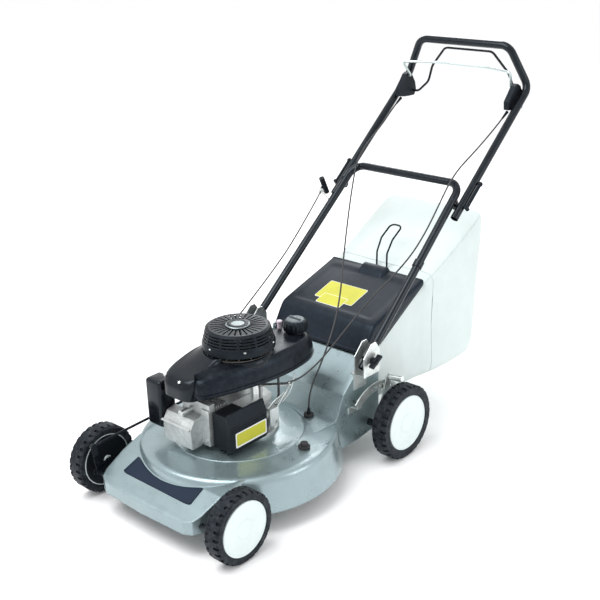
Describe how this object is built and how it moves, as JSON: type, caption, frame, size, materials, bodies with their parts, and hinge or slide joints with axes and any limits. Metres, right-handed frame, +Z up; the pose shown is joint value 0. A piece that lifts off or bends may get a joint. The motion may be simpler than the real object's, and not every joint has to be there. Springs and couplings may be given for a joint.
{
  "type": "self-propelled lawn mower",
  "caption": "Petrol walk-behind rotary mower with a steel deck, height-adjusted wheels, folding handle, drive and engine bails, and a rear grass bag.",
  "frame": {"origin": "on the ground, under the centre of the machine's bounding box", "axes": "+Z up, the front of the mower towards -Y, the operator's left towards +X"},
  "size_m": [0.608, 1.5352, 1.1405],
  "materials": {
    "deck_paint": "silver-blue metallic paint",
    "black_tube": "satin black powder coat",
    "zinc_steel": "zinc plated",
    "blade_steel": "ground edge",
    "cast_aluminium": "as cast",
    "cast_iron": "as cast",
    "engine_plastic": "semi-gloss black",
    "flap_plastic": "grained charcoal",
    "control_plastic": "grained black",
    "wheel_plastic": "white",
    "tyre_rubber": "matt",
    "rubber_black": "matt",
    "bag_cloth": "white woven polyester",
    "label_film": "printed film without text",
    "cable_sheath": "black",
    "rope_cord": "braided",
    "chrome_steel": "bright plated"
  },
  "bodies": {
    "deck": {"deck_shell": "deck_paint", "deck_grommets": "rubber_black", "deck_label": "label_film", "handle_brackets": "zinc_steel", "height_quadrant": "zinc_steel", "engine_block": "cast_aluminium", "engine_shroud": "engine_plastic", "recoil_cover": "engine_plastic", "fuel_tank": "engine_plastic", "muffler": "zinc_steel", "muffler_guard": "cast_aluminium", "air_cleaner_case": "engine_plastic", "carburettor": "cast_aluminium", "fuel_hose": "rubber_black", "spark_plug": "zinc_steel", "gearbox_housing": "cast_aluminium", "drive_belt": "rubber_black", "starter_rope": "rope_cord", "clutch_cable": "cable_sheath", "brake_cable": "cable_sheath"},
    "crank": {"crankshaft": "blade_steel", "flywheel": "cast_iron", "blade_holder": "cast_iron", "blade": "blade_steel"},
    "starter_pulley": {"starter_pulley": "control_plastic"},
    "fuel_cap": {"fuel_cap": "engine_plastic"},
    "oil_cap": {"oil_cap": "engine_plastic"},
    "air_cleaner_cover": {"air_cleaner_cover": "engine_plastic"},
    "brake_lever": {"brake_lever": "zinc_steel"},
    "gearbox_pulley": {"gearbox_pulley": "zinc_steel"},
    "clutch_lever": {"clutch_lever": "zinc_steel"},
    "drive_shaft": {"drive_shaft": "zinc_steel"},
    "front_axle": {"front_axle": "black_tube"},
    "rear_axle": {"rear_axle": "black_tube", "height_lever": "zinc_steel"},
    "height_link": {"height_link": "black_tube"},
    "front_wheel_left": {"front_tyre_left": "tyre_rubber", "front_rim_left": "wheel_plastic"},
    "front_wheel_right": {"front_tyre_right": "tyre_rubber", "front_rim_right": "wheel_plastic"},
    "rear_wheel_left": {"rear_tyre_left": "tyre_rubber", "rear_rim_left": "wheel_plastic"},
    "rear_wheel_right": {"rear_tyre_right": "tyre_rubber", "rear_rim_right": "wheel_plastic"},
    "pinion_left": {"pinion_left": "cast_iron"},
    "pinion_right": {"pinion_right": "cast_iron"},
    "lower_handle": {"lower_handle": "black_tube", "rope_guide": "zinc_steel"},
    "upper_handle": {"upper_handle": "black_tube", "control_housings": "control_plastic"},
    "cam_lever_left": {"cam_lever_left": "control_plastic"},
    "cam_lever_right": {"cam_lever_right": "control_plastic"},
    "wing_knob_left": {"wing_knob_left": "control_plastic"},
    "wing_knob_right": {"wing_knob_right": "control_plastic"},
    "engine_bail": {"engine_bail": "black_tube"},
    "drive_bail": {"drive_bail": "chrome_steel"},
    "starter_grip": {"starter_grip": "control_plastic"},
    "discharge_flap": {"discharge_flap": "flap_plastic"},
    "bag": {"bag_fabric": "bag_cloth", "bag_frame": "black_tube"}
  },
  "joints": [
    {"name": "crank_spin", "type": "hinge", "parent": "deck", "child": "crank", "pos_m": [0, -0.36608, 0.1], "axis": [0, 0, 1], "continuous": true},
    {"name": "gearbox_pulley_spin", "type": "hinge", "parent": "deck", "child": "gearbox_pulley", "pos_m": [0, -0.05008, 0.15], "axis": [0, 0, 1], "continuous": true},
    {"name": "drive_shaft_spin", "type": "hinge", "parent": "deck", "child": "drive_shaft", "pos_m": [0, -0.02058, 0.103], "axis": [1, 0, 0], "continuous": true},
    {"name": "rear_axle_tilt", "type": "hinge", "parent": "deck", "child": "rear_axle", "pos_m": [0, -0.02058, 0.103], "axis": [1, 0, 0], "range_deg": [-35, 20]},
    {"name": "front_axle_tilt", "type": "hinge", "parent": "deck", "child": "front_axle", "pos_m": [0, -0.71559, 0.088], "axis": [1, 0, 0], "range_deg": [-35, 20]},
    {"name": "height_link_turn", "type": "hinge", "parent": "rear_axle", "child": "height_link", "pos_m": [-0.237, -0.03181, 0.18826], "axis": [1, 0, 0], "range_deg": [-20, 35]},
    {"name": "front_wheel_left_spin", "type": "hinge", "parent": "front_axle", "child": "front_wheel_left", "pos_m": [0.28, -0.66758, 0.1], "axis": [1, 0, 0], "continuous": true},
    {"name": "rear_wheel_left_spin", "type": "hinge", "parent": "rear_axle", "child": "rear_wheel_left", "pos_m": [0.28, 0.02741, 0.115], "axis": [1, 0, 0], "continuous": true},
    {"name": "pinion_left_spin", "type": "hinge", "parent": "rear_axle", "child": "pinion_left", "pos_m": [0.2576, -0.02058, 0.103], "axis": [1, 0, 0], "continuous": true},
    {"name": "front_wheel_right_spin", "type": "hinge", "parent": "front_axle", "child": "front_wheel_right", "pos_m": [-0.28, -0.66758, 0.1], "axis": [1, 0, 0], "continuous": true},
    {"name": "rear_wheel_right_spin", "type": "hinge", "parent": "rear_axle", "child": "rear_wheel_right", "pos_m": [-0.28, 0.02741, 0.115], "axis": [1, 0, 0], "continuous": true},
    {"name": "pinion_right_spin", "type": "hinge", "parent": "rear_axle", "child": "pinion_right", "pos_m": [-0.2576, -0.02058, 0.103], "axis": [1, 0, 0], "continuous": true},
    {"name": "lower_handle_fold", "type": "hinge", "parent": "deck", "child": "lower_handle", "pos_m": [0, -0.07508, 0.34094], "axis": [1, 0, 0], "range_deg": [0, 120], "deforming": ["clutch_cable", "brake_cable", "starter_rope"]},
    {"name": "upper_handle_fold", "type": "hinge", "parent": "lower_handle", "child": "upper_handle", "pos_m": [0, 0.36991, 0.69304], "axis": [1, 0, 0], "range_deg": [-100, 0]},
    {"name": "cam_lever_left_open", "type": "hinge", "parent": "lower_handle", "child": "cam_lever_left", "pos_m": [0.259, 0.36991, 0.69304], "axis": [0, 0.6385, -0.7696], "range_deg": [0, 110]},
    {"name": "cam_lever_right_open", "type": "hinge", "parent": "lower_handle", "child": "cam_lever_right", "pos_m": [-0.259, 0.36991, 0.69304], "axis": [0, -0.6385, 0.7696], "range_deg": [0, 110]},
    {"name": "wing_knob_left_turn", "type": "hinge", "parent": "deck", "child": "wing_knob_left", "pos_m": [0.255, -0.07508, 0.34094], "axis": [1, 0, 0], "continuous": true},
    {"name": "wing_knob_right_turn", "type": "hinge", "parent": "deck", "child": "wing_knob_right", "pos_m": [-0.255, -0.07508, 0.34094], "axis": [1, 0, 0], "continuous": true},
    {"name": "engine_bail_squeeze", "type": "hinge", "parent": "upper_handle", "child": "engine_bail", "pos_m": [0, 0.72391, 0.95], "axis": [1, 0, 0], "range_deg": [0, 11], "stiffness_Nm_per_rad": 2.5, "springref_deg": -20.05},
    {"name": "drive_bail_squeeze", "type": "hinge", "parent": "upper_handle", "child": "drive_bail", "pos_m": [0, 0.69791, 1.003], "axis": [1, 0, 0], "range_deg": [-20, 0], "stiffness_Nm_per_rad": 2.5, "springref_deg": 20.05},
    {"name": "brake_lever_turn", "type": "hinge", "parent": "deck", "child": "brake_lever", "pos_m": [0.052, -0.34009, 0.305], "axis": [0, 0, 1], "range_deg": [0, 11]},
    {"name": "clutch_lever_turn", "type": "hinge", "parent": "deck", "child": "clutch_lever", "pos_m": [0.037, -0.05008, 0.092], "axis": [1, 0, 0], "range_deg": [0, 20]},
    {"name": "starter_pull", "type": "slide", "parent": "lower_handle", "child": "starter_grip", "axis": [-0.2885, 0.8655, 0.4095], "range_m": [0, 0.45]},
    {"name": "starter_pulley_spin", "type": "hinge", "parent": "deck", "child": "starter_pulley", "pos_m": [0, -0.36608, 0.464], "axis": [0, 0, 1], "range_deg": [0, 360]},
    {"name": "fuel_cap_turn", "type": "hinge", "parent": "deck", "child": "fuel_cap", "pos_m": [0.038, -0.17208, 0.43], "axis": [0, 0, 1], "range_deg": [0, 90]},
    {"name": "oil_cap_turn", "type": "hinge", "parent": "deck", "child": "oil_cap", "pos_m": [-0.05, -0.34009, 0.262], "axis": [0, 0, 1], "range_deg": [0, 90]},
    {"name": "air_cleaner_cover_open", "type": "hinge", "parent": "deck", "child": "air_cleaner_cover", "pos_m": [0.106, -0.45509, 0.184], "axis": [0, 1, 0], "range_deg": [0, 80]},
    {"name": "discharge_flap_lift", "type": "hinge", "parent": "deck", "child": "discharge_flap", "pos_m": [0, -0.03009, 0.327], "axis": [1, 0, 0], "range_deg": [0, 60], "stiffness_Nm_per_rad": 1.5, "springref_deg": -22.92},
    {"name": "bag_pull", "type": "slide", "parent": "deck", "child": "bag", "axis": [0, 1, 0], "range_m": [0, 0.35]}
  ],
  "couplings": [
    {"joint": "gearbox_pulley_spin", "follows": "crank_spin", "ratio": 0.88235},
    {"joint": "front_axle_tilt", "follows": "rear_axle_tilt", "ratio": 1},
    {"joint": "height_link_turn", "follows": "rear_axle_tilt", "ratio": -1},
    {"joint": "pinion_left_spin", "follows": "rear_wheel_left_spin", "ratio": 4.6667},
    {"joint": "pinion_right_spin", "follows": "rear_wheel_right_spin", "ratio": 4.6667},
    {"joint": "brake_lever_turn", "follows": "engine_bail_squeeze", "ratio": 1},
    {"joint": "clutch_lever_turn", "follows": "drive_bail_squeeze", "ratio": -1},
    {"joint": "starter_pulley_spin", "follows": "starter_pull", "rad_per_m": 13.889}
  ]
}
